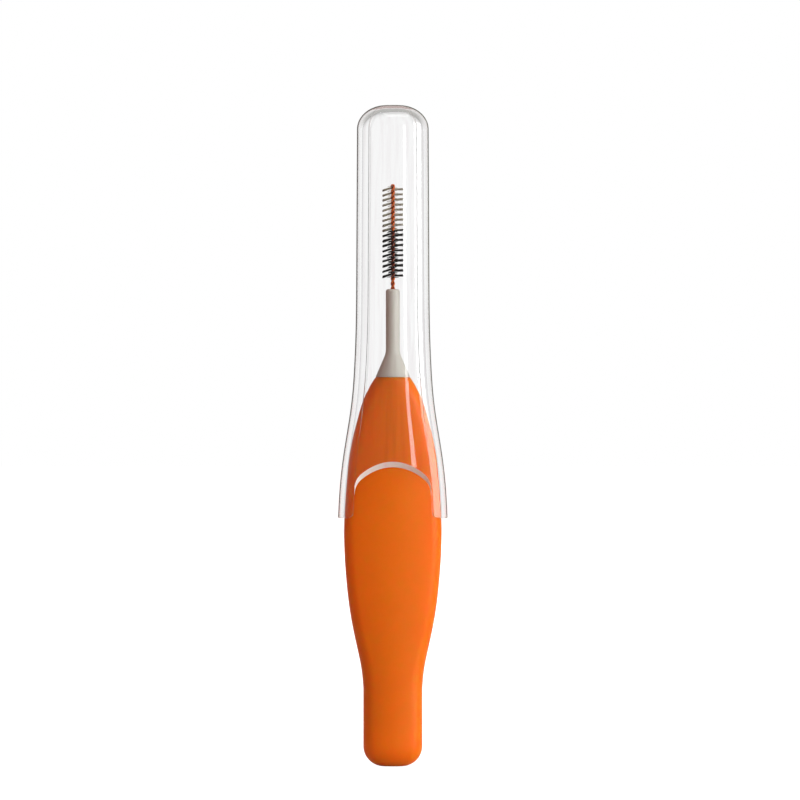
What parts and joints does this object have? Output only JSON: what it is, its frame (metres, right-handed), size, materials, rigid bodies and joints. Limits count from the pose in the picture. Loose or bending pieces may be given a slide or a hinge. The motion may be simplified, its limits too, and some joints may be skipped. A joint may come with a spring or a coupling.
{
  "type": "interdental brush",
  "caption": "Slim interdental brush with a flat soft-grip handle, a thin stem, a twisted-wire bristle head and a clear slip-on protective cap.",
  "frame": {"origin": "middle of the flat end of the handle's tail, the lowest point of the object", "axes": "+Z along the brush from the tail to the cap's dome, broad front face towards -Y, width along X"},
  "size_m": [0.0136, 0.0062, 0.0826],
  "materials": {
    "core_plastic": "moulded polypropylene, satin",
    "grip_rubber": "thermoplastic elastomer moulded over the core, fine satin",
    "wire_coating": "plastic-coated steel wire",
    "light_nylon": "natural nylon filament",
    "dark_nylon": "black nylon filament",
    "cap_clear": "clear moulded plastic"
  },
  "bodies": {
    "handle": {"handle_core": "core_plastic", "grip_sleeve": "grip_rubber", "twisted_wire": "wire_coating", "light_bristle_row_1": "light_nylon", "light_bristle_row_2": "light_nylon", "light_bristle_row_3": "light_nylon", "light_bristle_row_4": "light_nylon", "light_bristle_row_5": "light_nylon", "light_bristle_row_6": "light_nylon", "light_bristle_row_7": "light_nylon", "light_bristle_row_8": "light_nylon", "light_bristle_row_9": "light_nylon", "dark_bristle_row_1": "dark_nylon", "dark_bristle_row_2": "dark_nylon", "dark_bristle_row_3": "dark_nylon", "dark_bristle_row_4": "dark_nylon", "dark_bristle_row_5": "dark_nylon", "dark_bristle_row_6": "dark_nylon", "dark_bristle_row_7": "dark_nylon", "dark_bristle_row_8": "dark_nylon", "dark_bristle_row_9": "dark_nylon", "dark_bristle_row_10": "dark_nylon"},
    "cap": {"cap": "cap_clear"}
  },
  "joints": [
    {"name": "cap_slide", "type": "slide", "parent": "handle", "child": "cap", "axis": [0, 0, 1], "range_m": [0, 0.045]}
  ]
}
